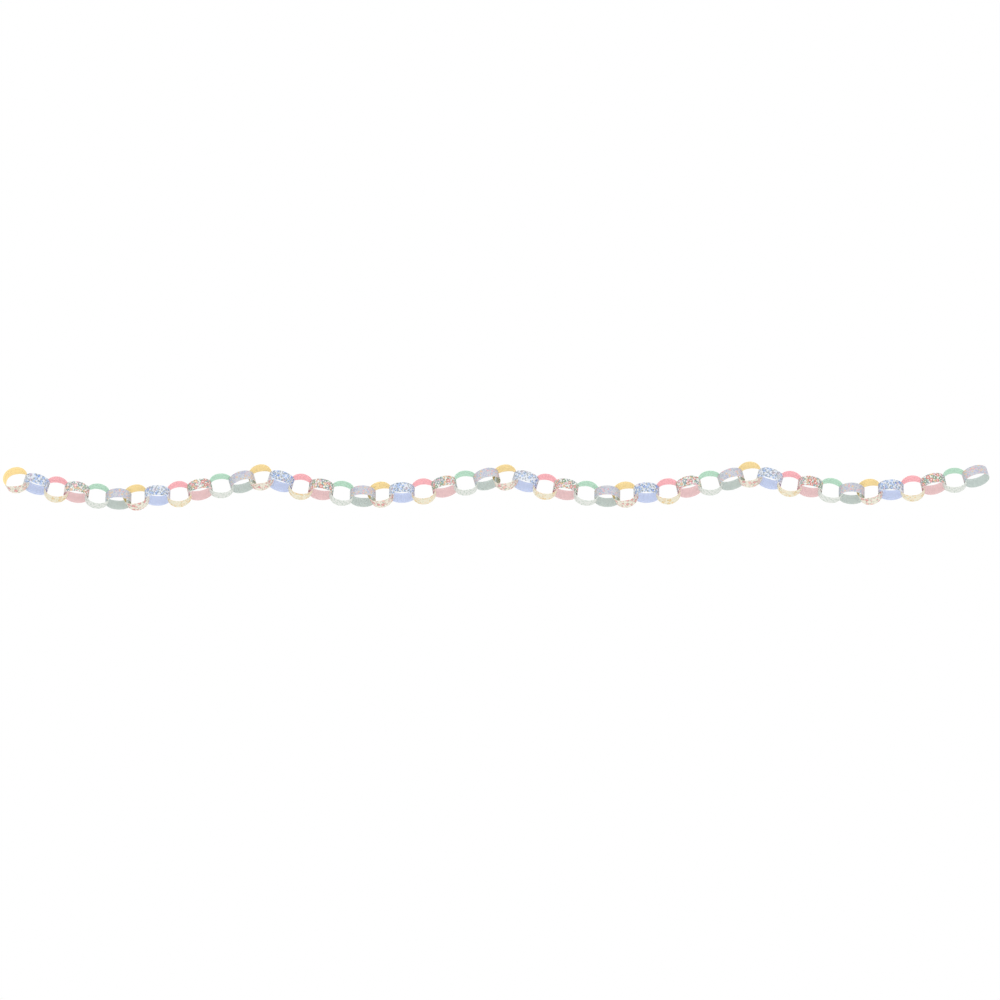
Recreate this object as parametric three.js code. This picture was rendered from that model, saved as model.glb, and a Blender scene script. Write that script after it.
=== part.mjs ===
// A paper chain garland: forty-eight strips of patterned craft paper, each bent into a loop
// through the loop before it and glued shut, hung in four shallow swags.
// Millimetres. +X runs along the garland, +Z is up and -Y faces the room.
// The origin is where the first loop bears on its pin.
import * as THREE from "three";

// One strip
const STRIP_LENGTH = 200;
const STRIP_WIDTH = 26;
const PAPER_THICKNESS = 0.25;
const GLUED_OVERLAP = 9;
const FACETS = 32; // straight facets round a loop

// The chain as it hangs
const SWAGS = 4;
const LINKS_PER_SWAG = 12;
const PIN_SPACING = 611;
const SWAG_STARTS = [0, 7, 7, 14]; // height of each swag's own pin
const SWAG_RISE = 14; // how much higher each swag ends than it starts
const PIN_LIFT = 1.6; // how far a loop on a pin is held above the chain's line
const SAG = 48.5;
const BOTTOM_ROUNDING = 175; // how far from the lowest point the swag's arms turn straight
const ARM_SLACK = 6.5; // how far the loops at the bottom have slid towards the swag's start

// The six papers, in the order they follow each other. Loops lie and stand by turns: a standing
// loop's hole faces the room and a lying loop's faces up, before the whole chain leans. Each paper
// keeps the pose that its loops settle in:
// lean     how far the loop leans back about the chain, degrees
// swivel   its turn about the leaning upright, degrees
// tip      how much steeper it slopes than the chain there, degrees
// oval     how much longer than round it is pulled along the chain, as a share of the mean diameter
// along, forward, rise   how far it sits off its even place on the chain's line, mm
const PAPERS = [
  { name: "yellow", color: 0xe6dccb, standing: true, lean: 31.8, swivel: -10.9, tip: 0, oval: 0 },
  { name: "blue", color: 0xcdd5e2, standing: false, lean: 28.1, swivel: 0.1, tip: 5.1, oval: 0.052 },
  { name: "pink", color: 0xeee5ce, standing: true, lean: 30.2, swivel: 0.8, tip: 0, oval: 0.003 },
  { name: "coral", color: 0xd4ccc6, standing: false, lean: 29.8, swivel: -0.5, tip: -0.6, oval: 0.027 },
  { name: "green", color: 0xdde3e0, standing: true, lean: 30.1, swivel: 5.6, tip: 0, oval: 0.001 },
  { name: "sage", color: 0xced0d4, standing: false, lean: 33.2, swivel: 0.8, tip: -2.2, oval: 0.06 },
];
const SETTLED_PLACES = [
  { along: 0, forward: -3.1, rise: -0.7 },
  { along: -0.2, forward: 5.9, rise: 1.4 },
  { along: 1.1, forward: 6.7, rise: -2.3 },
  { along: 1.5, forward: 4.1, rise: -0.2 },
  { along: 3.2, forward: 0.2, rise: -2.7 },
  { along: 4.9, forward: -5.3, rise: -5.6 },
];

const PAPER_ROUGHNESS = 0.85;
const MEAN_DIAMETER = (STRIP_LENGTH - GLUED_OVERLAP) / Math.PI;
const OVERLAP_TURN = (2 * Math.PI * GLUED_OVERLAP) / (STRIP_LENGTH - GLUED_OVERLAP);

// A swag between two pins: two nearly straight arms that round off at the bottom.
class Swag extends THREE.Curve {
  constructor(index) {
    super();
    this.index = index;
  }

  getPoint(t, target = new THREE.Vector3()) {
    const half = PIN_SPACING / 2;
    const arm = (x) => Math.hypot(x, BOTTOM_ROUNDING) - BOTTOM_ROUNDING;
    const hang = SAG * (arm((2 * t - 1) * half) / arm(half) - 1);
    const chord = SWAG_STARTS[this.index] + SWAG_RISE * t;
    return target.set((this.index + t) * PIN_SPACING, 0, chord + hang);
  }
}

// The half lengths of a loop along the chain and across it.
function halfAxes(paper) {
  const mean = MEAN_DIAMETER / 2;
  return [mean * (1 + paper.oval), mean * (1 - paper.oval)];
}

// A point of the loop's outline, a distance off the line halfway through the glued overlap.
function outlinePoint([along, across], angle, offset) {
  const normal = new THREE.Vector2(Math.cos(angle) / along, Math.sin(angle) / across).normalize();
  const point = new THREE.Vector2(along * Math.cos(angle), across * Math.sin(angle));
  return point.addScaledVector(normal, offset);
}

// One face of the strip, from its own end round to the same place one turn on. The strip starts
// inside the overlap and drifts outwards by its own thickness on the way round, so the inner face
// has a step where the strip starts and the outer face has one where it ends.
function faceOutline(axes, seam, isOuter) {
  const start = isOuter ? seam + OVERLAP_TURN : seam;
  const first = isOuter ? 0 : -PAPER_THICKNESS;
  const singleTurn = 2 * Math.PI - OVERLAP_TURN;
  const points = [];
  for (let i = 0; i <= FACETS; i++) {
    const turn = (2 * Math.PI * i) / FACETS;
    const drift = isOuter ? turn / singleTurn : (turn - OVERLAP_TURN) / singleTurn;
    const offset = first + PAPER_THICKNESS * THREE.MathUtils.clamp(drift, 0, 1);
    points.push(outlinePoint(axes, start + turn, offset));
  }
  return points;
}

// A strip bent into a loop: local X along the chain, local Z along the loop's axis.
function loopGeometry(paper, seam) {
  const axes = halfAxes(paper);
  const section = new THREE.Shape(faceOutline(axes, seam, true));
  section.holes.push(new THREE.Path(faceOutline(axes, seam, false)));
  const geometry = new THREE.ExtrudeGeometry(section, { depth: STRIP_WIDTH, bevelEnabled: false });
  return geometry.translate(0, 0, -STRIP_WIDTH / 2);
}

// Turns a loop from flat in its own frame to the way it sits on a chain with this slope.
function loopTurn(paper, slope) {
  const { degToRad } = THREE.MathUtils;
  const steps = [
    new THREE.Matrix4().makeRotationY(degToRad(paper.tip) - slope),
    new THREE.Matrix4().makeRotationX(degToRad(-paper.lean)),
    new THREE.Matrix4().makeRotationZ(degToRad(paper.swivel)),
    new THREE.Matrix4().makeRotationX(paper.standing ? Math.PI / 2 : 0),
  ];
  return steps.reduce((turn, step) => turn.multiply(step), new THREE.Matrix4());
}

// The glued overlap is kept off the ends of a loop, where it bears on its neighbours,
// and at the bottom of a loop that hangs on a pin.
function seamAngle(number) {
  const side = number % LINKS_PER_SWAG === 0 || number % 4 > 1 ? -90 : 90;
  const spread = 15 * ((number % 5) - 2);
  return THREE.MathUtils.degToRad(side + spread) - OVERLAP_TURN / 2;
}

// The share of the swag's length at which a loop sits, counting from the pin before it.
function placeAlong(swag, step, along) {
  const nearBottom = 1 - Math.abs((2 * step) / LINKS_PER_SWAG - 1);
  return step / LINKS_PER_SWAG + (along - ARM_SLACK * nearBottom) / swag.getLength();
}

function makeLink(number, swag) {
  const paper = PAPERS[number % PAPERS.length];
  const settled = SETTLED_PLACES[number % PAPERS.length];
  const step = number % LINKS_PER_SWAG;
  const place = placeAlong(swag, step, settled.along);
  const tangent = swag.getTangentAt(place);
  const onPin = step === 0;
  const slope = onPin ? 0 : Math.atan2(tangent.z, tangent.x);
  const rise = settled.rise + (onPin ? PIN_LIFT : 0);
  const material = new THREE.MeshStandardMaterial({
    color: paper.color,
    roughness: PAPER_ROUGHNESS,
    metalness: 0,
  });
  const link = new THREE.Mesh(loopGeometry(paper, seamAngle(number)), material);
  link.name = "link_" + String(number + 1).padStart(2, "0") + "_" + paper.name;
  link.quaternion.setFromRotationMatrix(loopTurn(paper, slope));
  link.position.copy(swag.getPointAt(place));
  link.position.add(new THREE.Vector3(0, -settled.forward, rise));
  return link;
}

const garland = new THREE.Group();
for (let s = 0; s < SWAGS; s++) {
  const swag = new Swag(s);
  for (let k = 0; k < LINKS_PER_SWAG; k++) garland.add(makeLink(s * LINKS_PER_SWAG + k, swag));
}

// The first loop's left end, inside, is what bears on the first pin.
const firstLink = garland.children[0];
const bearing = new THREE.Vector3(PAPER_THICKNESS / 2 - halfAxes(PAPERS[0])[0], 0, 0);
garland.position.copy(bearing.applyQuaternion(firstLink.quaternion).add(firstLink.position).negate());

export default garland;
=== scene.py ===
"""A hung paper chain garland: printed craft paper strips, each glued into a loop through the last.

Lengths are metres. The chain runs along +X, +Z is up and -Y faces the room.
"""

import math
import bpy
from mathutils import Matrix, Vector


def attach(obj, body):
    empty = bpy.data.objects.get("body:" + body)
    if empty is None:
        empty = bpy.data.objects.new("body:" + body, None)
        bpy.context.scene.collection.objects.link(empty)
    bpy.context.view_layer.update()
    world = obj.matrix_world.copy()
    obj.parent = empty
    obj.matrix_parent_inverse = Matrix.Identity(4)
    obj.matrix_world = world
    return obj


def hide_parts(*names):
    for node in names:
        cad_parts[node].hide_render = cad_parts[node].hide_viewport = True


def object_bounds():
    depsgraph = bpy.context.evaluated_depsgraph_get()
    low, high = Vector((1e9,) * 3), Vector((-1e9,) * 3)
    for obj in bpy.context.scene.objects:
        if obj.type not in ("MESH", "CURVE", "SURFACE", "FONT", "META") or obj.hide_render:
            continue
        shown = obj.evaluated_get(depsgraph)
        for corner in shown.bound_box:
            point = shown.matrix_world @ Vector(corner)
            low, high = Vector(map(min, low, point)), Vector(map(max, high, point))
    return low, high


bl_info = {
    "name": "Paper Chain Garland",
    "version": (1, 0, 0),
    "blender": (4, 5, 0),
    "location": "View3D > Sidebar > Paper Chain",
    "description": "Makes the printed paper loops of a hung garland, and the studio round it",
    "category": "Object",
}

import bpy
import numpy as np
from bpy.props import FloatProperty, FloatVectorProperty, IntProperty, PointerProperty
from mathutils import Vector

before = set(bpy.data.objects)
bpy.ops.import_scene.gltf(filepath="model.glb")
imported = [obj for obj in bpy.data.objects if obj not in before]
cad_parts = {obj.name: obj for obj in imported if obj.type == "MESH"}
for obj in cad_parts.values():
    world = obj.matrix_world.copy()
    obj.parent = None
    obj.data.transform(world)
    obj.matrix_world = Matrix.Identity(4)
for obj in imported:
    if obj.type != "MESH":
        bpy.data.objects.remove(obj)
cad_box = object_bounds()

MM = 0.001
TURN = 2 * math.pi
NODE_NAMES = sorted(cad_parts)

# Where the two faces of a strip and its cut edges lie on the square that colours are baked to.
ATLAS_ROWS = 2  # rows that each face is laid in, one above the other
ATLAS_CUT_ROOM = 1.2 * MM  # height given to a cut edge, which is far thinner
ATLAS_GAP = 0.5 * MM
ATLAS_CUT_STEP = ATLAS_CUT_ROOM + ATLAS_GAP

PRINTED, PLAIN, CUT = range(3)  # material slots of a strip
PAPER_NAMES = ("Yellow", "Blue", "Pink", "Coral", "Green", "Sage")
INNER_PIN_LOOPS = (13, 25, 37)  # the loops before them are too close for a flare

WHITE = (1.0, 1.0, 1.0)
PAPER_RELIEF = 0.03 * MM
LENGTHWISE_GRAIN = 0.6  # share of the grain's fibres that lie along the strip
INK_WEAR = 0.1  # how much of the white stock the grain lets through the ink
GRAIN_IN_DYE = 0.6  # share of the dye's unevenness that follows the grain
DYE_CONTRAST = 2.4
LONG_FIBRES_FROM, CROSS_FIBRES_FROM = 0.63, 0.65  # of the noise's 0 to 1: its peaks are fibres
FIBRE_SOFTNESS = 0.1
FIBRE_STRENGTH = 0.45
SEEDS_BETWEEN_PRINTS = 4
SHEET_REACH = 0.5  # metres of printed sheet, each way, that strips start in at random

# The flatter part of a loop at its glued overlap, and the rounder parts on both sides of it.
SEAM_FLAT_SPREAD = 0.28  # radians
SEAM_SHOULDER_SPREAD = 0.6  # radians
SEAM_SHOULDER_SHARE = 0.6

CORNER_LIFT_REACH = 7 * MM  # how far from a strip's end its corners start to lift
INNER_LIFT_SHARE = 0.3  # of an inner corner, which has the outer layer over it

# Each studio light's size, and its place off the middle of the garland.
KEY_LIGHT_SIZE, KEY_LIGHT_PLACE = (5, 2.5), (-1.5, -4.5, 2.5)
LOW_LIGHT_SIZE, LOW_LIGHT_PLACE = (5, 2), (1.5, -4.5, -1.2)
BACK_LIGHT_SIZE, BACK_LIGHT_PLACE = (5, 2.5), (1, 4.5, 2.5)


# ---------------------------------------------------------------------------------------------
# Colours


def ink(red, green, blue):
    """A colour as a printer's swatch book gives it, 0 to 255, turned to linear light."""
    shares = (red / 255, green / 255, blue / 255)
    return tuple(s / 12.92 if s <= 0.04045 else ((s + 0.055) / 1.055) ** 2.4 for s in shares)


def shade(colour, gain, lift=0.0):
    """A colour made lighter, or darker with a gain under 1."""
    return [min(1.0, c * gain + lift) for c in colour]


def between(low, high, share):
    """From low to high by a share from 0 to 1, which can be a node's output."""
    return low + (high - low) * share


def swatch(name, description, red, green, blue):
    """A colour that the user can change, in a paper's settings."""
    return FloatVectorProperty(
        name=name,
        description=description,
        default=ink(red, green, blue),
        subtype="COLOR",
        size=3,
        min=0,
        max=1,
    )


def length(name, description, default):
    """A length that the user can change, in metres."""
    return FloatProperty(
        name=name, description=description, default=default, unit="LENGTH", precision=5
    )


# ---------------------------------------------------------------------------------------------
# Settings


class StripSettings(bpy.types.PropertyGroup):
    """How each strip is bent, glued and cut."""

    thickness: length("Paper thickness", "Thickness of one layer of paper", 0.25 * MM)
    glue_line: length("Glue line", "Gap that the glue fills between the two layers", 0.02 * MM)
    edge_curl: length("Edge curl", "How far the long edges turn outwards", 0.12 * MM)
    corner_lift: length("Corner lift", "How far the corners of an end stand off the glue", 0.35 * MM)
    seam_flat: length("Flat at the seam", "How far in the doubled paper stays", 0.3 * MM)
    wobble: length("Wobble", "How far a loop strays from round by hand", 0.35 * MM)
    skew: length("Skew", "How far the ends miss each other sideways when glued", 0.5 * MM)
    steps_round: IntProperty(
        name="Steps round", description="Faces along a strip", default=168, min=24
    )
    steps_across: IntProperty(
        name="Steps across", description="Faces across a strip", default=10, min=4
    )


SLANT_MEANS = "How far each long edge is pulled across the chain, the two in opposite ways"
SQUASH_MEANS = "How far the two free walls are pressed in"
FLARE_MEANS = "How far the near edge stands out at the loop's first end, and the far edge in"


class YellowPaper(bpy.types.PropertyGroup):
    """Yellow behind, with rose blossoms on cream."""

    plain: swatch("Plain face", "Unprinted side", 235, 213, 157)
    ground: swatch("Ground", "Behind the blossoms", 207, 203, 190)
    rose: swatch("Rose", "Full blossoms", 199, 126, 136)
    bud: swatch("Bud", "Lighter blossoms", 214, 177, 175)
    leaf: swatch("Leaf", "Leaves", 130, 147, 125)
    stamen: swatch("Stamen", "Middles of the blossoms", 216, 190, 130)
    slant: length("Slant", SLANT_MEANS, 2.4 * MM)
    squash: length("Squash", SQUASH_MEANS, 2.5 * MM)
    flare: length("Flare", FLARE_MEANS, 1.5 * MM)


class BluePaper(bpy.types.PropertyGroup):
    """Blue behind, with a blue meadow on white."""

    plain: swatch("Plain face", "Unprinted side", 186, 197, 224)
    ground: swatch("Ground", "Behind the blossoms", 190, 195, 203)
    sky: swatch("Sky", "Large pale blossoms", 138, 164, 206)
    cornflower: swatch("Cornflower", "Small strong blossoms", 86, 128, 210)
    leaf: swatch("Leaf", "Dark leaves", 66, 80, 80)
    lilac: swatch("Lilac", "A few blossoms", 186, 160, 177)
    slant: length("Slant", SLANT_MEANS, -1.4 * MM)
    squash: length("Squash", SQUASH_MEANS, 0.0)
    flare: length("Flare", FLARE_MEANS, 0.0)


class PinkPaper(bpy.types.PropertyGroup):
    """Pink behind, with orange blossoms on pale yellow."""

    plain: swatch("Plain face", "Unprinted side", 236, 179, 186)
    ground: swatch("Ground", "Behind the blossoms", 207, 202, 182)
    marigold: swatch("Marigold", "Full blossoms", 214, 177, 113)
    peach: swatch("Peach", "Lighter blossoms", 218, 197, 169)
    leaf: swatch("Leaf", "Leaves", 166, 171, 130)
    bluebell: swatch("Bluebell", "Small dots", 125, 147, 182)
    slant: length("Slant", SLANT_MEANS, 1.45 * MM)
    squash: length("Squash", SQUASH_MEANS, 1.5 * MM)
    flare: length("Flare", FLARE_MEANS, 0.0)


class CoralPaper(bpy.types.PropertyGroup):
    """Coral behind, with a crowd of garden blossoms."""

    plain: swatch("Plain face", "Unprinted side", 215, 186, 188)
    ground: swatch("Ground", "Behind the blossoms", 203, 203, 199)
    poppy: swatch("Poppy", "Red blossoms", 190, 88, 88)
    pink: swatch("Pink", "Pink blossoms", 206, 146, 162)
    orange: swatch("Orange", "Orange blossoms", 206, 156, 106)
    slate: swatch("Slate", "Grey-blue blossoms", 108, 130, 148)
    leaf: swatch("Leaf", "Leaves", 70, 120, 92)
    slant: length("Slant", SLANT_MEANS, -1.4 * MM)
    squash: length("Squash", SQUASH_MEANS, 0.0)
    flare: length("Flare", FLARE_MEANS, 0.0)


class GreenPaper(bpy.types.PropertyGroup):
    """Green behind, with pale leaves on white."""

    plain: swatch("Plain face", "Unprinted side", 181, 215, 197)
    ground: swatch("Ground", "Behind the leaves", 198, 202, 200)
    leaf: swatch("Leaf", "Leafy sprigs", 136, 158, 145)
    shade: swatch("Shade", "Leaves further back", 179, 186, 180)
    berry: swatch("Berry", "Small dots", 160, 167, 160)
    slant: length("Slant", SLANT_MEANS, 0.5 * MM)
    squash: length("Squash", SQUASH_MEANS, 2.4 * MM)
    flare: length("Flare", FLARE_MEANS, 0.0)


class SagePaper(bpy.types.PropertyGroup):
    """Sage behind, with a fine mixed print on lilac grey."""

    plain: swatch("Plain face", "Unprinted side", 183, 193, 190)
    ground: swatch("Ground", "Behind the blossoms", 170, 170, 176)
    pink: swatch("Pink", "Pink blossoms", 201, 149, 162)
    apricot: swatch("Apricot", "Orange blossoms", 208, 169, 126)
    lilac: swatch("Lilac", "Lilac blossoms", 149, 154, 186)
    teal: swatch("Teal", "Leaves", 108, 141, 141)
    slant: length("Slant", SLANT_MEANS, -0.6 * MM)
    squash: length("Squash", SQUASH_MEANS, 0.0)
    flare: length("Flare", FLARE_MEANS, 0.0)


class StageSettings(bpy.types.PropertyGroup):
    """The room that the garland hangs in, its light and the camera."""

    hang_height: length("Hanging height", "Height of the first pin above the floor", 2.0)
    floor_reach: length("Floor reach", "How far the floor goes each way", 20.0)
    floor_colour: swatch("Floor", "Pale painted floor", 236, 234, 230)
    sky_light: FloatProperty(
        name="Sky light", description="Strength of the even white light", default=1.38
    )
    key_light: FloatProperty(
        name="Key light", description="Power of the large front light", default=41, unit="POWER"
    )
    low_light: FloatProperty(
        name="Low light", description="Power of the light from below", default=20, unit="POWER"
    )
    back_light: FloatProperty(
        name="Back light", description="Power of the light from behind", default=52, unit="POWER"
    )
    view_distance: length("View distance", "How far the camera stands off", 40.0)
    fill: FloatProperty(
        name="Fill", description="Share of the frame's width that the garland takes", default=0.986
    )


# ---------------------------------------------------------------------------------------------
# Shader sums


class Wire:
    """An output socket that can be used in sums: each sum adds its Math or Vector Math node."""

    def __init__(self, paint, socket):
        self.paint = paint
        self.socket = socket

    def __add__(self, other):
        return self.paint.maths("ADD", self, other)

    def __sub__(self, other):
        return self.paint.maths("SUBTRACT", self, other)

    def __rsub__(self, other):
        return self.paint.maths("SUBTRACT", other, self)

    def __mul__(self, other):
        return self.paint.maths("MULTIPLY", self, other)

    def __truediv__(self, other):
        return self.paint.maths("DIVIDE", self, other)

    def __rtruediv__(self, other):
        return self.paint.maths("DIVIDE", other, self)

    def __pow__(self, other):
        return self.paint.maths("POWER", self, other)

    def __lt__(self, other):
        return self.paint.maths("LESS_THAN", self, other)

    def __abs__(self):
        return self.paint.maths("ABSOLUTE", self)

    __radd__ = __add__
    __rmul__ = __mul__


class Paint:
    """Builds the node tree of a material or of the world."""

    def __init__(self, material):
        material.use_nodes = True
        self.tree = material.node_tree
        self.tree.nodes.clear()

    def node(self, kind, settings=None, sockets=None, output=0):
        """Adds a node: its settings first, then its sockets' values or links."""
        made = self.tree.nodes.new(kind)
        for name, value in (settings or {}).items():
            if name == "stops":
                self.set_stops(made.color_ramp, value)
            else:
                setattr(made, name, value)
        for name, value in (sockets or {}).items():
            if isinstance(value, Wire):
                self.tree.links.new(value.socket, made.inputs[name])
            elif hasattr(made.inputs[name].default_value, "__len__"):
                wanted = len(made.inputs[name].default_value)
                spread = value if hasattr(value, "__len__") else (value,) * 3
                made.inputs[name].default_value = (tuple(spread) + (1.0,))[:wanted]
            else:
                made.inputs[name].default_value = value
        return Wire(self, made.outputs[output]) if made.outputs else None

    def set_stops(self, ramp, colours):
        """Gives each colour an equal share of the ramp, with no blend between them."""
        ramp.interpolation = "CONSTANT"
        while len(ramp.elements) < len(colours):
            ramp.elements.new(1.0)
        for i, colour in enumerate(colours):
            ramp.elements[i].position = i / len(colours)
            ramp.elements[i].color = (*colour, 1.0)

    def maths(self, operation, *terms):
        """A sum on values, or on vectors where any term is one."""
        kinds = [t.socket.type for t in terms if isinstance(t, Wire)]
        vector = any(kind in ("VECTOR", "RGBA") for kind in kinds)
        kind = "ShaderNodeVectorMath" if vector else "ShaderNodeMath"
        return self.node(kind, {"operation": operation}, dict(enumerate(terms)))

    def mix(self, share, first, second):
        """From the first colour to the second by a share from 0 to 1."""
        settings = {"data_type": "RGBA", "clamp_factor": True}
        return self.node("ShaderNodeMix", settings, {0: share, 6: first, 7: second}, 2)

    def parts(self, vector):
        """A vector's three numbers."""
        split = self.node("ShaderNodeSeparateXYZ", None, {0: vector}).socket.node
        return [Wire(self, socket) for socket in split.outputs]

    def inside(self, depth, soft=0.06 * MM):
        """1 where the depth inside an outline is over 0, with an edge as soft as printed ink."""
        limits = {1: -soft / 2, 2: soft / 2, 3: 0.0, 4: 1.0}
        return self.node("ShaderNodeMapRange", {"clamp": True}, {0: depth, **limits})

    def contrast(self, value, gain):
        """A value spread out about 0.5."""
        return value * gain + (1 - gain) / 2

    def noise(self, place, scale, detail=2.0, rough=0.5):
        """Smooth noise from 0 to 1, about 0.5."""
        sockets = {"Vector": place, "Scale": scale, "Detail": detail, "Roughness": rough}
        return self.node("ShaderNodeTexNoise", {"noise_dimensions": "2D"}, sockets)

    def stretched(self, place, along, across):
        """The place on the paper, scaled: the larger a number, the shorter things look that way."""
        return place * (along, across, 1)


# ---------------------------------------------------------------------------------------------
# Motifs of the prints


GRID_SHIFT = (3.7, 1.9)  # squares that a motif's grid is moved by for each seed
OTHER_SQUARE = (31.0, 57.0, 0.0)  # squares away that a motif's second set of luck is taken from

# How far motifs stray from the middles of their squares, as shares of a square.
BLOSSOM_STRAY = 0.12
SPRIG_STRAY = 0.14
BERRY_STRAY = 0.3

# Blossoms: sizes are shares of a blossom's own.
SMALLEST_BLOSSOM = 0.65
PETALS_PART = 0.58  # distance from the middle at which two petals part
PETAL_ROUNDING = 0.6  # a power: the smaller, the rounder
TONE_FROM_SIZE = 0.37  # how much of a blossom's choice of tone comes from its size
DEEP_SHARE = 0.45  # share of a deeper colour in the tone towards the middle
DEEPER, LEAF_EDGE_LIGHTER = 0.55, 1.25
NOTCH_DEEPENING = 0.35  # how much the middle's tone reaches out between petals
LEAVES_PER_BLOSSOM = 3
LEAF_REACH = 1.5
LEAF_NARROWING = 3.0  # a power: the larger, the narrower
LEAF_PHASE = 0.7  # turns the leaves away from the first petal

# Sprigs
STEM_HALF_WIDTH = 0.16 * MM
STEM_REACH = 0.95  # share of the sprig's reach
LEAF_SLANT = 0.9  # how far a leaf leans along the stem for its distance off it
LEAF_ROUNDING = 0.65  # a power: the smaller, the blunter
LEAF_PALENESS = 0.18  # share of white inside the rim
LEAF_RIM = 0.35 * MM  # width of a leaf's darker rim
TONE_BLEND = 0.5 * MM  # width over which a leaf's two tones meet

SMALLEST_BERRY = 0.6


class Squares:
    """Squares of paper, each with one motif near its middle and its own luck."""

    def __init__(self, paint, place, pitch, turn, stray, seed):
        self.paint = paint
        laid = {
            "Vector": place,
            "Location": (seed * GRID_SHIFT[0], seed * GRID_SHIFT[1], 0),
            "Rotation": (0, 0, turn),
            "Scale": 1 / pitch,
        }
        grid = paint.node("ShaderNodeMapping", {"vector_type": "POINT"}, laid)
        square = paint.maths("FLOOR", grid)
        strays = (self.chance(square) - 0.5) * (2 * stray)
        x, y, _ = paint.parts((grid - square - 0.5 - strays) * pitch)
        offset = paint.node("ShaderNodeCombineXYZ", None, {0: x, 1: y})
        self.out = paint.node("ShaderNodeVectorMath", {"operation": "LENGTH"}, {0: offset}, 1)
        self.luck = paint.parts(self.chance(square + OTHER_SQUARE))
        self.bearing = paint.maths("ARCTAN2", y, x) + self.luck[2] * TURN

    def chance(self, square):
        """Three even random numbers that belong to a square."""
        settings = {"noise_dimensions": "2D"}
        return self.paint.node("ShaderNodeTexWhiteNoise", settings, {0: square}, 1)

    def kept(self, share):
        """1 in this share of the squares."""
        return self.luck[1] < share


class Sheet:
    """A sheet as it is printed: every motif is laid over what is there. Sizes are millimetres.

    Each motif has one square of the pitch to itself, in rows turned by an angle in radians, and
    only a share of the squares is used.
    """

    def __init__(self, paint, place, ground, first_seed):
        self.paint = paint
        self.place = place
        self.face = ground
        self.seed = first_seed

    def squares(self, pitch, turn, stray):
        """The next motif's squares, with a seed of their own."""
        self.seed += 1
        return Squares(self.paint, self.place, pitch * MM, turn, stray, self.seed)

    def lay(self, squares, share, cover, tone):
        """Puts a tone where the cover is 1, in the squares that are used."""
        self.face = self.paint.mix(squares.kept(share) * cover, self.face, tone)

    def pick(self, tones, luck):
        """One of the tones by luck from 0 to 1."""
        return self.paint.node("ShaderNodeValToRGB", {"stops": tones}, {0: luck})

    def blossoms(self, pitch, turn, radius, petals, tones, eye, share, leaf=None, eye_size=0.24):
        """Round-petalled blossoms, each on a few leaves if they have a colour."""
        paint, squares = self.paint, self.squares(pitch, turn, BLOSSOM_STRAY)
        size = between(SMALLEST_BLOSSOM, 1, squares.luck[0]) * (radius * MM)
        if leaf is not None:
            leaf_turn = squares.bearing * (LEAVES_PER_BLOSSOM / 2) + LEAF_PHASE
            blade = abs(paint.maths("COSINE", leaf_turn)) ** LEAF_NARROWING
            depth = size * LEAF_REACH * blade - squares.out
            edge_tone = shade(leaf, LEAF_EDGE_LIGHTER)
            leaf_tone = paint.mix(paint.inside(depth, TONE_BLEND), edge_tone, leaf)
            self.lay(squares, share, paint.inside(depth), leaf_tone)
        lobe = abs(paint.maths("COSINE", squares.bearing * (petals / 2)))
        edge = size * between(PETALS_PART, 1, lobe**PETAL_ROUNDING)
        choice = squares.luck[0] * TONE_FROM_SIZE + squares.luck[2] * (1 - TONE_FROM_SIZE)
        tone = self.pick(tones, choice)
        deep = paint.mix(DEEP_SHARE, tone, shade(tones[0], DEEPER))
        outer = squares.out / edge - (1 - lobe) * NOTCH_DEEPENING
        petal_tone = paint.mix(outer, deep, tone)
        self.lay(squares, share, paint.inside(edge - squares.out), petal_tone)
        self.lay(squares, share, paint.inside(size * eye_size - squares.out), eye)

    def sprigs(self, pitch, turn, reach, pairs, colour, share, plump=0.3):
        """Stems with leaves in pairs that slant towards the tip."""
        paint, squares = self.paint, self.squares(pitch, turn, SPRIG_STRAY)
        reach = reach * MM
        along = squares.out * paint.maths("COSINE", squares.bearing)
        aside = abs(squares.out * paint.maths("SINE", squares.bearing))
        way = along / reach
        taper = paint.maths("MAXIMUM", 1 - way * way, 0.0)
        slant = (along - aside * LEAF_SLANT) * (math.pi * pairs / reach / 2)
        blade = abs(paint.maths("SINE", slant)) ** LEAF_ROUNDING
        depth = blade * taper * (reach * plump) - aside
        stem = paint.inside(STEM_HALF_WIDTH - aside) * (abs(way) < STEM_REACH)
        pale = paint.mix(LEAF_PALENESS, colour, WHITE)
        tone = paint.mix(paint.inside(depth - LEAF_RIM, TONE_BLEND), colour, pale)
        self.lay(squares, share, paint.maths("MAXIMUM", paint.inside(depth), stem), tone)

    def berries(self, pitch, turn, radius, tones, share):
        """Small round dots."""
        squares = self.squares(pitch, turn, BERRY_STRAY)
        size = between(SMALLEST_BERRY, 1, squares.luck[2]) * (radius * MM)
        tone = self.pick(tones, squares.luck[0])
        self.lay(squares, share, self.paint.inside(size - squares.out), tone)


# ---------------------------------------------------------------------------------------------
# The six prints


def yellow_print(sheet, c):
    sheet.sprigs(pitch=11, turn=0.4, reach=4.4, pairs=3, colour=c.leaf, share=0.8)
    sheet.blossoms(
        pitch=10, turn=0.9, radius=3.4, petals=5,
        tones=[c.bud, c.bud, c.rose], eye=c.stamen, share=0.6, leaf=c.leaf,
    )
    sheet.blossoms(
        pitch=13, turn=0.2, radius=5.8, petals=5,
        tones=[c.rose, c.bud], eye=c.stamen, share=0.6, leaf=c.leaf,
    )
    sheet.berries(pitch=4, turn=0.6, radius=0.5, tones=[c.rose, c.leaf], share=0.5)


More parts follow.
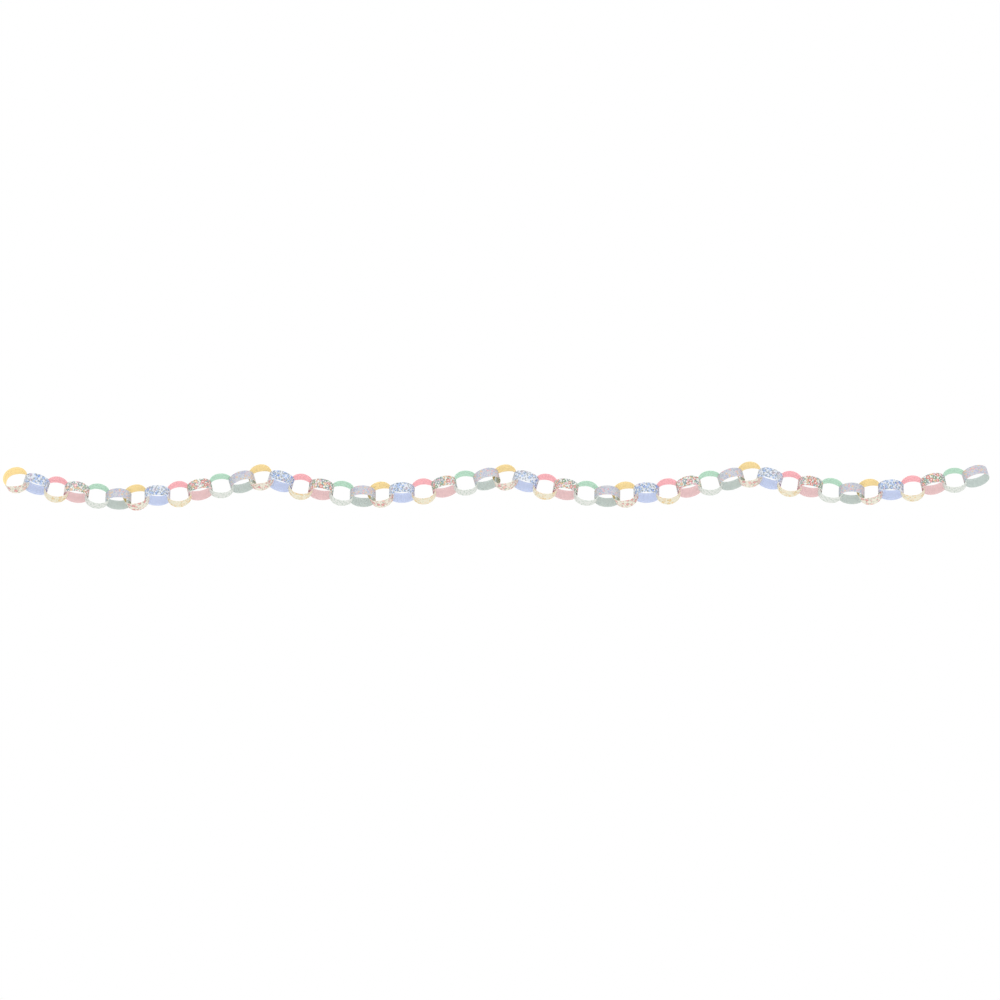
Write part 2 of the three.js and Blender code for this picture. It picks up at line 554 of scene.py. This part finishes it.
def blue_print(sheet, c):
    sheet.blossoms(
        pitch=9, turn=0.5, radius=4.6, petals=5,
        tones=[c.sky, c.sky, c.sky, c.lilac], eye=c.ground, share=0.75,
    )
    sheet.sprigs(pitch=7, turn=1.1, reach=3.9, pairs=3, colour=c.leaf, share=0.8, plump=0.36)
    sheet.blossoms(
        pitch=12, turn=0.1, radius=4, petals=6,
        tones=[c.cornflower, c.sky], eye=c.ground, share=0.5, leaf=c.leaf,
    )
    sheet.sprigs(pitch=9, turn=0.4, reach=4.2, pairs=3, colour=c.leaf, share=0.7, plump=0.36)
    sheet.berries(pitch=3.5, turn=0.3, radius=0.6, tones=[c.leaf, c.leaf, c.cornflower], share=0.6)


def pink_print(sheet, c):
    sheet.sprigs(pitch=9, turn=0.3, reach=3.9, pairs=3, colour=c.leaf, share=0.6)
    sheet.blossoms(
        pitch=9, turn=0.8, radius=3.4, petals=5,
        tones=[c.peach, c.marigold], eye=c.ground, share=0.6,
    )
    sheet.blossoms(
        pitch=13, turn=0.2, radius=4.8, petals=6,
        tones=[c.peach, c.marigold], eye=c.ground, share=0.6, leaf=c.leaf,
    )
    sheet.berries(pitch=4.5, turn=0.5, radius=0.6, tones=[c.bluebell, c.marigold], share=0.4)


def coral_print(sheet, c):
    sheet.sprigs(pitch=6.5, turn=0.7, reach=3.6, pairs=3, colour=c.leaf, share=0.95, plump=0.4)
    sheet.blossoms(
        pitch=9, turn=0.2, radius=4.2, petals=5,
        tones=[c.slate, c.pink, c.orange], eye=c.ground, share=0.85, leaf=c.leaf,
    )
    tones = [c.orange, c.poppy, c.slate, c.poppy, c.leaf, c.pink]
    sheet.blossoms(
        pitch=11.5, turn=1.0, radius=5.6, petals=5,
        tones=tones, eye=c.ground, share=0.85, leaf=c.leaf, eye_size=0.36,
    )
    sheet.berries(pitch=3.6, turn=0.5, radius=0.6, tones=[c.poppy, c.orange, c.leaf], share=0.6)


def green_print(sheet, c):
    sheet.sprigs(pitch=9, turn=0.2, reach=4.4, pairs=4, colour=c.shade, share=1.0)
    sheet.sprigs(pitch=11, turn=0.9, reach=5.8, pairs=4, colour=c.leaf, share=0.95)
    sheet.berries(pitch=4, turn=0.4, radius=0.5, tones=[c.berry, c.leaf], share=0.5)


def sage_print(sheet, c):
    sheet.sprigs(pitch=6, turn=0.5, reach=2.7, pairs=3, colour=c.teal, share=0.7)
    sheet.blossoms(
        pitch=6.5, turn=0.9, radius=2.7, petals=5,
        tones=[c.lilac, c.pink, c.lilac, c.apricot], eye=c.ground, share=0.75,
    )
    sheet.blossoms(
        pitch=9, turn=0.3, radius=3.2, petals=5,
        tones=[c.apricot, c.lilac, c.pink], eye=c.ground, share=0.65, leaf=c.teal,
    )
    sheet.berries(pitch=3, turn=0.2, radius=0.45, tones=[c.pink, c.teal, c.lilac], share=0.6)


# ---------------------------------------------------------------------------------------------
# Papers


def new_paint(name):
    material = bpy.data.materials.new(name)
    return material, Paint(material)


def finish(paint, colour, roughness, height, depth):
    """Ends a paper material: its colour, its roughness and the fine relief of its surface."""
    bump = {"Strength": 0.4, "Distance": depth, "Height": height}
    look = {
        "Base Color": colour,
        "Roughness": roughness,
        "Normal": paint.node("ShaderNodeBump", None, bump),
        "Specular IOR Level": 0.35,
    }
    shader = paint.node("ShaderNodeBsdfPrincipled", None, look)
    paint.node("ShaderNodeOutputMaterial", None, {"Surface": shader})


def paper_grain(paint, place):
    """The felt of short fibres that lie mostly along the strip, from 0 to 1."""
    long_place = paint.stretched(place, along=1, across=6)
    cross_place = paint.stretched(place, along=5, across=1)
    long_fibres = paint.noise(long_place, scale=900, detail=3, rough=0.6)
    cross_fibres = paint.noise(cross_place, scale=1100)
    return long_fibres * LENGTHWISE_GRAIN + cross_fibres * (1 - LENGTHWISE_GRAIN)


def on_paper(paint):
    """Where a point lies on the flat sheet, in metres."""
    return paint.node("ShaderNodeUVMap", {"uv_map": "Strip"})


def printed_face(name, colours, pattern):
    """The outer side: ink on a smooth, faintly toothed white stock."""
    material, paint = new_paint(name + " print")
    place = on_paper(paint)
    grain = paper_grain(paint, place)
    first_seed = PAPER_NAMES.index(name) * SEEDS_BETWEEN_PRINTS
    sheet = Sheet(paint, place, colours.ground, first_seed)
    pattern(sheet, colours)
    face = paint.mix(grain * INK_WEAR, sheet.face, WHITE)
    mottle = paint.noise(place, scale=260)
    finish(paint, face, between(0.52, 0.64, mottle), grain, PAPER_RELIEF)
    return material


def loose_fibres(paint, place):
    """Single fibres that show at the surface here and there, from 0 to 1."""
    long_fibres = paint.noise(paint.stretched(place, along=1, across=8), scale=380)
    cross_fibres = paint.noise(paint.stretched(place, along=7, across=1), scale=440)
    long_ones = paint.inside(long_fibres - LONG_FIBRES_FROM, FIBRE_SOFTNESS)
    cross_ones = paint.inside(cross_fibres - CROSS_FIBRES_FROM, FIBRE_SOFTNESS)
    return paint.maths("MAXIMUM", long_ones, cross_ones)


def plain_face(name, colour):
    """The inner side: dyed, uncoated and slightly fibrous."""
    material, paint = new_paint(name + " plain")
    place = on_paper(paint)
    grain = paper_grain(paint, place)
    cloud = paint.noise(place, scale=120, detail=3)
    mottle = grain * GRAIN_IN_DYE + cloud * (1 - GRAIN_IN_DYE)
    deep, light, pale = shade(colour, 0.96), shade(colour, 1.03, 0.005), shade(colour, 1.12, 0.02)
    face = paint.mix(paint.contrast(mottle, DYE_CONTRAST), deep, light)
    face = paint.mix(loose_fibres(paint, place) * FIBRE_STRENGTH, face, pale)
    finish(paint, face, between(0.8, 0.9, grain), grain, PAPER_RELIEF)
    return material


def cut_edge(name, colour):
    """The cut: pale stock with a trace of the dye."""
    material, paint = new_paint(name + " cut")
    place = on_paper(paint)
    grain = paint.noise(place, scale=2400, rough=0.6)
    face = paint.mix(between(0.35, 0.85, grain), colour, ink(250, 248, 244))
    finish(paint, face, between(0.86, 0.94, grain), grain, PAPER_RELIEF)
    return material


# ---------------------------------------------------------------------------------------------
# Loops


DECIMALS_KEPT = 7  # of metres, so that a rim point that several faces share counts once
LEAST_STEP, MOST_STEP = 0.1 * MM, 0.5 * MM  # a paper's thickness lies between them


class Loop:
    """The place, size and seam of a loop, read from its CAD node."""

    def __init__(self, node):
        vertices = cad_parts[node].data.vertices
        points = np.array([v.co for v in vertices])
        middle = points.mean(axis=0)
        _, directions = np.linalg.eigh(np.cov((points - middle).T))
        towards_room_or_up = np.sign(directions[2, 0] - directions[1, 0])
        self.axis = directions[:, 0] * towards_room_or_up
        along_axis = (points - middle) @ self.axis
        self.width = np.ptp(along_axis)
        middle = middle + self.axis * (along_axis.max() + along_axis.min()) / 2
        self.chain = np.array((1.0, 0.0, 0.0)) - self.axis * self.axis[0]
        self.chain /= np.linalg.norm(self.chain)
        self.side = np.cross(self.axis, self.chain)
        rim = points[along_axis > 0] - middle
        on_plane = np.c_[rim @ self.chain, rim @ self.side]
        across = np.unique(np.round(on_plane, DECIMALS_KEPT), axis=0)
        self.fit_oval(across, middle)
        self.find_seam(across)

    def fit_oval(self, across, middle):
        """Least squares for the conic a x2 + b xy + c y2 + d x + e y = 1 through the rim."""
        unit = np.abs(across).max()
        x, y = across.T / unit
        terms = np.c_[x * x, x * y, y * y, x, y]
        a, b, c, d, e = np.linalg.lstsq(terms, np.ones(len(x)), rcond=None)[0]
        form = np.array(((a, b / 2), (b / 2, c)))
        self.centre_on_plane = np.linalg.solve(-2 * form, (d, e)) * unit
        centre = self.centre_on_plane / unit
        scale = 1 + centre @ form @ centre
        bends, self.oval_turn = np.linalg.eigh(form / scale)
        self.half_lengths = unit / np.sqrt(bends)
        shift = self.centre_on_plane
        self.centre = middle + self.chain * shift[0] + self.side * shift[1]

    def find_seam(self, across):
        """The seam's two steps are the only pairs of rim points a paper's thickness apart."""
        spots = across - self.centre_on_plane
        gaps = np.linalg.norm(spots[:, None] - spots[None], axis=2)
        near = np.argwhere(np.triu((gaps > LEAST_STEP) & (gaps < MOST_STEP), 1))
        if len(near) != 2:
            raise RuntimeError("a loop's seam should have two steps and has " + str(len(near)))
        steps = [spots[list(pair)].mean(axis=0) for pair in near]
        steps.sort(key=lambda spot: np.linalg.norm(self.round_off(spot)))
        start, end = [math.atan2(spot[1], spot[0]) for spot in steps]
        turn = (end - start + math.pi) % TURN - math.pi
        self.way = 1 if turn > 0 else -1
        self.seam = start
        self.overlap = abs(turn)

    def round_off(self, spot):
        """A rim point as a share of the oval's radius there."""
        return (self.oval_turn.T @ spot) / self.half_lengths

    def outline(self, angle):
        """Points of the oval at these angles from the chain's direction, and the ways out there."""
        looks = np.stack((np.cos(angle), np.sin(angle)), axis=-1)
        shares = (looks @ self.oval_turn) / self.half_lengths
        radius = 1 / np.linalg.norm(shares, axis=-1)
        out = (shares / self.half_lengths) @ self.oval_turn.T
        out /= np.linalg.norm(out, axis=-1)[..., None]
        return looks * radius[..., None], out


def bump_at(angle, spot, spread):
    """A smooth rise of 1 at a spot on the loop, gone a few spreads away."""
    away = (angle - spot + math.pi) % TURN - math.pi
    return np.exp(-((away / spread) ** 2))


class Bend:
    """How one strip strays from its loop's even oval, as a hand-glued strip does.

    The paper's flare is left out of a loop that has no room for it.
    """

    def __init__(self, loop, s, paper, luck, has_room):
        self.loop = loop
        self.s = s
        self.paper = paper
        self.flare = paper.flare if has_room else 0.0
        self.waves = [(n, luck.uniform(-1, 1) / (n - 1), luck.uniform(0, TURN)) for n in (2, 3, 4)]
        self.cone = luck.uniform(-1, 1)
        self.cone_turn = luck.uniform(0, TURN)
        self.skew = luck.uniform(-1, 1)
        self.lifts = luck.uniform(0.2, 1.0, 4)

    def freedom(self, angle):
        """How far it can wobble: least at its two ends, where it bears on its neighbours."""
        return between(0.1, 1.0, np.sin(angle) ** 2)

    def free_wall(self, angle):
        """1 halfway between the loop's ends, and 0 near them, where its neighbours pass through."""
        clear_of_neighbours = 0.45  # sine of the angle that they reach to
        rise = (np.abs(np.sin(angle)) - clear_of_neighbours) / (1 - clear_of_neighbours)
        return np.clip(rise, 0, 1) ** 2

    def radial(self, angle, across, from_start, from_end):
        """Distance off the oval, for places given by their angle and share of the half width."""
        s = self.s
        wave = sum(size * np.cos(n * angle + phase) for n, size, phase in self.waves)
        cone = self.cone * across * np.cos(angle - self.cone_turn)
        seam = self.loop.seam + self.loop.way * self.loop.overlap / 2
        shoulders = SEAM_SHOULDER_SHARE * bump_at(angle, seam, SEAM_SHOULDER_SPREAD)
        flat = bump_at(angle, seam, SEAM_FLAT_SPREAD) - shoulders
        off = s.wobble * (wave + cone) / 2 * self.freedom(angle)
        slant = self.paper.slant * across * np.sign(np.sin(angle))
        off = off + self.free_wall(angle) * (slant - self.paper.squash)
        first_end = np.clip(-np.cos(angle), 0, 1) ** 2
        off = off + self.flare * across * first_end
        off = off - s.seam_flat * flat + s.edge_curl * np.abs(across) ** 6
        outer_corners = self.corners(across, from_end, self.lifts[:2], 1)
        inner_corners = self.corners(across, from_start, self.lifts[2:], -INNER_LIFT_SHARE)
        return off + outer_corners + inner_corners

    def corners(self, across, from_tip, lifts, share):
        """The two corners of an end stand off, outwards, or inwards with a share under 0."""
        near = np.clip(1 - from_tip / CORNER_LIFT_REACH, 0, 1) ** 2
        lift = np.where(across > 0, lifts[0], lifts[1])
        return share * self.s.corner_lift * lift * near * np.abs(across) ** 3


def strip_surface(loop, bend, s):
    """Both faces of a strip as grids of points, with the places that they have on the flat strip."""
    rows = np.linspace(0, 1, s.steps_round + 1)
    turn = rows * (TURN + loop.overlap)
    angle = (loop.seam + loop.way * turn)[:, None]
    even = np.linspace(-1, 1, s.steps_across + 1)
    closer_at_edges = 0.8  # a power: 1 spaces the steps across evenly
    across = (np.sign(even) * np.abs(even) ** closer_at_edges)[None, :]
    layer = s.thickness + s.glue_line
    drift = np.clip((turn - loop.overlap) / (TURN - loop.overlap), 0, 1)[:, None]
    on_oval, out = loop.outline(angle[:, 0])
    along = np.r_[0, np.cumsum(np.linalg.norm(np.diff(on_oval, axis=0), axis=1))]
    from_start = along[:, None]
    off = (drift - 0.5) * layer + bend.radial(angle, across, from_start, along[-1] - from_start)
    sideways = loop.width / 2 * across + bend.skew * s.skew * (rows[:, None] - 0.5)
    faces = []
    for face in (0.5, -0.5):
        flat = on_oval[:, None] + out[:, None] * (off + face * s.thickness)[..., None]
        faces.append(
            loop.centre
            + flat[..., :1] * loop.chain
            + flat[..., 1:] * loop.side
            + sideways[..., None] * loop.axis
        )
    return faces, along, loop.width / 2 * across[0]


def grid_faces(rows, columns, first, flip):
    """Quads of a grid whose points are numbered row by row."""
    quads = []
    for i in range(rows - 1):
        for j in range(columns - 1):
            a = first + i * columns + j
            quad = (a, a + 1, a + columns + 1, a + columns)
            quads.append(quad[::-1] if flip else quad)
    return quads


def neighbours(ring):
    """Each rim point with the next one, all the way round."""
    return list(zip(ring, ring[1:] + ring[:1]))


def edge_faces(ring, count, flip):
    """Quads from the outer face's rim to the inner face's, all the way round the strip."""
    quads = []
    for a, b in neighbours(ring):
        quad = (a, b, b + count, a + count)
        quads.append(quad[::-1] if flip else quad)
    return quads


def strip_mesh(name, loop, bend, s, cut_from):
    """A closed mesh of one strip: the printed face, the plain face and the cut edge."""
    faces, along, across = strip_surface(loop, bend, s)
    rows, columns = faces[0].shape[:2]
    count = rows * columns
    points = np.concatenate([face.reshape(-1, 3) for face in faces])
    outward = loop.way > 0
    printed = grid_faces(rows, columns, 0, not outward)
    plain = grid_faces(rows, columns, count, outward)
    ring = list(range(columns))
    ring += [i * columns + columns - 1 for i in range(1, rows)]
    ring += [(rows - 1) * columns + j for j in range(columns - 2, -1, -1)]
    ring += [i * columns for i in range(rows - 2, 0, -1)]
    cut = edge_faces(ring, count, outward)
    mesh = bpy.data.meshes.new(name)
    mesh.from_pydata(points.tolist(), [], printed + plain + cut)
    slots = [PRINTED] * len(printed) + [PLAIN] * len(plain) + [CUT] * len(cut)
    mesh.polygons.foreach_set("material_index", slots)
    mesh.shade_smooth()
    sharp = {frozenset(pair) for pair in neighbours(ring)}
    sharp |= {frozenset(v + count for v in pair) for pair in sharp}
    corners = (0, columns - 1, count - 1, count - columns)
    sharp |= {frozenset((v, v + count)) for v in corners}
    for edge in mesh.edges:
        edge.use_edge_sharp = frozenset(edge.vertices) in sharp
    lay_flat(mesh, along, across, cut_from)
    lay_atlas(mesh, along, across, ring, count)
    return mesh


def lay_flat(mesh, along, across, cut_from):
    """Gives every corner its place on the printed sheet, in metres."""
    layer = mesh.uv_layers.new(name="Strip")
    flat = np.stack(np.meshgrid(along, across, indexing="ij"), axis=-1).reshape(-1, 2)
    flat = np.concatenate([flat, flat]) + cut_from
    vertices = np.empty(len(mesh.loops), np.int32)
    mesh.loops.foreach_get("vertex_index", vertices)
    layer.uv.foreach_set("vector", flat[vertices].astype(np.float32).ravel())
    layer.active = True
    layer.active_render = True


def lay_atlas(mesh, along, across, ring, count):
    """Lays every face on one square without overlap: each side in rows, then the cut edges."""
    positions = np.zeros((len(mesh.loops), 2), np.float32)
    last = len(along) - 1
    per_row = math.ceil(last / ATLAS_ROWS)
    starts = range(0, last, per_row)
    row_length = max(along[min(i + per_row, last)] - along[i] for i in starts)
    sides_top = lay_sides(mesh, along, across, count, per_row, positions)
    steps = [ring_step(along, across, a, b) for a, b in neighbours(ring)]
    lay_cuts(mesh, steps, ring, count, row_length, sides_top, positions)
    cut_rows = math.ceil(sum(steps) / row_length) + 1
    size = max(row_length + 2 * ATLAS_GAP, sides_top + cut_rows * ATLAS_CUT_STEP)
    layer = mesh.uv_layers.new(name="OFBake")
    layer.uv.foreach_set("vector", (positions / size).ravel())
    mesh.uv_layers["Strip"].active = True


def lay_sides(mesh, along, across, count, per_row, positions):
    """Gives the printed side its rows, then the plain side, and returns where they end."""
    columns = len(across)
    row_step = across[-1] - across[0] + ATLAS_GAP
    for polygon in mesh.polygons:
        if polygon.material_index == CUT:
            continue
        side = (PRINTED, PLAIN).index(polygon.material_index)
        places = {}
        for corner in polygon.loop_indices:
            vertex = mesh.loops[corner].vertex_index - side * count
            places[corner] = divmod(vertex, columns)
        row = min(i for i, _ in places.values()) // per_row
        base = ATLAS_GAP + (side * ATLAS_ROWS + row) * row_step
        for corner, (i, j) in places.items():
            x = ATLAS_GAP + along[i] - along[row * per_row]
            positions[corner] = (x, base + across[j] - across[0])
    return ATLAS_GAP + 2 * ATLAS_ROWS * row_step


def lay_cuts(mesh, steps, ring, count, row_length, base, positions):
    """Lays the cut edges end to end above the sides, in rows as long as theirs."""
    row, used = 0, 0.0
    cuts = [polygon for polygon in mesh.polygons if polygon.material_index == CUT]
    for polygon, begin, step in zip(cuts, ring, steps):
        if used + step > row_length:
            row, used = row + 1, 0.0
        for corner in polygon.loop_indices:
            vertex = mesh.loops[corner].vertex_index
            x = ATLAS_GAP + used + (0.0 if vertex % count == begin else step)
            y = base + row * ATLAS_CUT_STEP + (ATLAS_CUT_ROOM if vertex >= count else 0.0)
            positions[corner] = (x, y)
        used += step


def ring_step(along, across, a, b):
    """The distance along the cut between two neighbouring rim points."""
    columns = len(across)
    (i, j), (k, l) = divmod(a, columns), divmod(b, columns)
    return math.hypot(along[i] - along[k], across[j] - across[l])


# ---------------------------------------------------------------------------------------------
# Operators


class Inks:
    """A paper's colours as plain numbers."""

    def __init__(self, colours):
        for name in colours.__annotations__:
            value = getattr(colours, name)
            if hasattr(value, "__len__"):
                setattr(self, name, tuple(value))


def make_loops(context, paper, settings, pattern):
    """Every loop of one paper, each in place of its CAD node."""
    s = context.scene.garland_strip
    nodes = [name for name in NODE_NAMES if name.endswith("_" + paper)]
    if not nodes:
        raise RuntimeError("the frame has no " + paper + " link")
    inks = Inks(settings)
    title = paper.capitalize()
    materials = [
        printed_face(title, inks, pattern),
        plain_face(title, inks.plain),
        cut_edge(title, inks.plain),
    ]
    for node in nodes:
        number = int(node.split("_")[1])
        luck = np.random.default_rng(number)
        loop = Loop(node)
        cut_from = luck.uniform(0, SHEET_REACH, 2)
        bend = Bend(loop, s, settings, luck, number not in INNER_PIN_LOOPS)
        mesh = strip_mesh(node + "_strip", loop, bend, s, cut_from)
        for material in materials:
            mesh.materials.append(material)
        piece = bpy.data.objects.new(node + "_strip", mesh)
        context.scene.collection.objects.link(piece)
        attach(piece, "root")
        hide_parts(node)


class GARLAND_OT_yellow_loops(bpy.types.Operator):
    """Makes the yellow loops with the rose print"""

    bl_idname = "garland.yellow_loops"
    bl_label = "Yellow loops"

    def execute(self, context):
        make_loops(context, "yellow", context.scene.garland_yellow, yellow_print)
        return {"FINISHED"}


class GARLAND_OT_blue_loops(bpy.types.Operator):
    """Makes the blue loops with the meadow print"""

    bl_idname = "garland.blue_loops"
    bl_label = "Blue loops"

    def execute(self, context):
        make_loops(context, "blue", context.scene.garland_blue, blue_print)
        return {"FINISHED"}


class GARLAND_OT_pink_loops(bpy.types.Operator):
    """Makes the pink loops with the marigold print"""

    bl_idname = "garland.pink_loops"
    bl_label = "Pink loops"

    def execute(self, context):
        make_loops(context, "pink", context.scene.garland_pink, pink_print)
        return {"FINISHED"}


class GARLAND_OT_coral_loops(bpy.types.Operator):
    """Makes the coral loops with the mixed garden print"""

    bl_idname = "garland.coral_loops"
    bl_label = "Coral loops"

    def execute(self, context):
        make_loops(context, "coral", context.scene.garland_coral, coral_print)
        return {"FINISHED"}


class GARLAND_OT_green_loops(bpy.types.Operator):
    """Makes the green loops with the leaf print"""

    bl_idname = "garland.green_loops"
    bl_label = "Green loops"

    def execute(self, context):
        make_loops(context, "green", context.scene.garland_green, green_print)
        return {"FINISHED"}


class GARLAND_OT_sage_loops(bpy.types.Operator):
    """Makes the sage loops with the fine grey print"""

    bl_idname = "garland.sage_loops"
    bl_label = "Sage loops"

    def execute(self, context):
        make_loops(context, "sage", context.scene.garland_sage, sage_print)
        return {"FINISHED"}


def middle_of(box):
    """The middle of a box that is given by its lowest and highest corners."""
    return [(low + high) / 2 for low, high in zip(*box)]


def add_light(context, name, power, size, place):
    """A large soft light, placed off the garland's middle and pointed at it."""
    lamp = bpy.data.lights.new(name, "AREA")
    lamp.shape = "RECTANGLE"
    lamp.size, lamp.size_y = size
    lamp.energy = power
    middle = middle_of(cad_box)
    holder = bpy.data.objects.new(name, lamp)
    holder.location = [m + offset for m, offset in zip(middle, place)]
    holder.rotation_euler = (Vector(middle) - holder.location).to_track_quat("-Z", "Y").to_euler()
    context.scene.collection.objects.link(holder)


def add_world(context, strength):
    """An even white light, seen as plain white paper behind the garland."""
    world = bpy.data.worlds.new("Studio white")
    context.scene.world = world
    paint = Paint(world)
    seen = paint.node("ShaderNodeBackground", None, {"Color": WHITE, "Strength": 1.0})
    lit = paint.node("ShaderNodeBackground", None, {"Color": WHITE, "Strength": strength})
    straight = paint.node("ShaderNodeLightPath", None, None, "Is Camera Ray")
    both = paint.node("ShaderNodeMixShader", None, {0: straight, 1: lit, 2: seen})
    paint.node("ShaderNodeOutputWorld", None, {"Surface": both})


def add_floor(context, s):
    """A plain painted floor, far below the garland."""
    material, paint = new_paint("Floor paint")
    place = paint.node("ShaderNodeTexCoord", None, None, "Object")
    rolled = paint.noise(place, scale=6, detail=3)
    colour = tuple(s.floor_colour)
    face = paint.mix(rolled, shade(colour, 0.98), colour)
    finish(paint, face, between(0.7, 0.8, rolled), rolled, 0.5 * MM)
    x, y, _ = middle_of(cad_box)
    ways = ((-1, -1), (1, -1), (1, 1), (-1, 1))
    reach = s.floor_reach
    corners = [(x + i * reach, y + j * reach, -s.hang_height) for i, j in ways]
    mesh = bpy.data.meshes.new("studio_floor")
    mesh.from_pydata(corners, [], [(0, 1, 2, 3)])
    mesh.materials.append(material)
    floor = bpy.data.objects.new("studio_floor", mesh)
    context.scene.collection.objects.link(floor)


def add_camera(context, s):
    """A long lens straight in front, about as high as the garland hangs."""
    low, high = cad_box
    x, y, z = middle_of(cad_box)
    frame_width = (high[0] - low[0]) / s.fill
    camera = bpy.data.cameras.new("Front camera")
    camera.lens = camera.sensor_width * s.view_distance / frame_width
    camera.clip_end = s.view_distance * 5
    holder = bpy.data.objects.new("Front camera", camera)
    right_of_middle = 0.0035 * frame_width
    below_middle = 0.014 * frame_width
    holder.location = (x + right_of_middle, y - s.view_distance, z - below_middle)
    holder.rotation_euler = (math.pi / 2, 0, 0)
    context.scene.collection.objects.link(holder)
    context.scene.camera = holder


class GARLAND_OT_stage(bpy.types.Operator):
    """Sets up the floor, the white studio light and the camera"""

    bl_idname = "garland.stage"
    bl_label = "Studio"

    def execute(self, context):
        s = context.scene.garland_stage
        context.scene.view_settings.view_transform = "Standard"
        add_world(context, s.sky_light)
        add_floor(context, s)
        add_light(context, "Key light", s.key_light, KEY_LIGHT_SIZE, KEY_LIGHT_PLACE)
        add_light(context, "Low light", s.low_light, LOW_LIGHT_SIZE, LOW_LIGHT_PLACE)
        add_light(context, "Back light", s.back_light, BACK_LIGHT_SIZE, BACK_LIGHT_PLACE)
        add_camera(context, s)
        return {"FINISHED"}


class GARLAND_PT_panel(bpy.types.Panel):
    """Has a button for each paper's loops and one for the studio"""

    bl_idname = "GARLAND_PT_panel"
    bl_label = "Paper Chain Garland"
    bl_space_type = "VIEW_3D"
    bl_region_type = "UI"
    bl_category = "Paper Chain"

    def draw(self, context):
        for operator in OPERATORS:
            self.layout.operator(operator.bl_idname)


SETTINGS = {
    "garland_strip": StripSettings,
    "garland_yellow": YellowPaper,
    "garland_blue": BluePaper,
    "garland_pink": PinkPaper,
    "garland_coral": CoralPaper,
    "garland_green": GreenPaper,
    "garland_sage": SagePaper,
    "garland_stage": StageSettings,
}
OPERATORS = (
    GARLAND_OT_yellow_loops,
    GARLAND_OT_blue_loops,
    GARLAND_OT_pink_loops,
    GARLAND_OT_coral_loops,
    GARLAND_OT_green_loops,
    GARLAND_OT_sage_loops,
    GARLAND_OT_stage,
)


def register():
    for settings in SETTINGS.values():
        bpy.utils.register_class(settings)
    for name, settings in SETTINGS.items():
        setattr(bpy.types.Scene, name, PointerProperty(type=settings))
    for made in (*OPERATORS, GARLAND_PT_panel):
        bpy.utils.register_class(made)


def unregister():
    for made in (GARLAND_PT_panel, *reversed(OPERATORS)):
        bpy.utils.unregister_class(made)
    for name, settings in SETTINGS.items():
        delattr(bpy.types.Scene, name)
        bpy.utils.unregister_class(settings)


def main():
    register()
    bpy.ops.garland.stage()
    bpy.ops.garland.yellow_loops()
    bpy.ops.garland.blue_loops()
    bpy.ops.garland.pink_loops()
    bpy.ops.garland.coral_loops()
    bpy.ops.garland.green_loops()
    bpy.ops.garland.sage_loops()


if __name__ == "__main__":
    main()
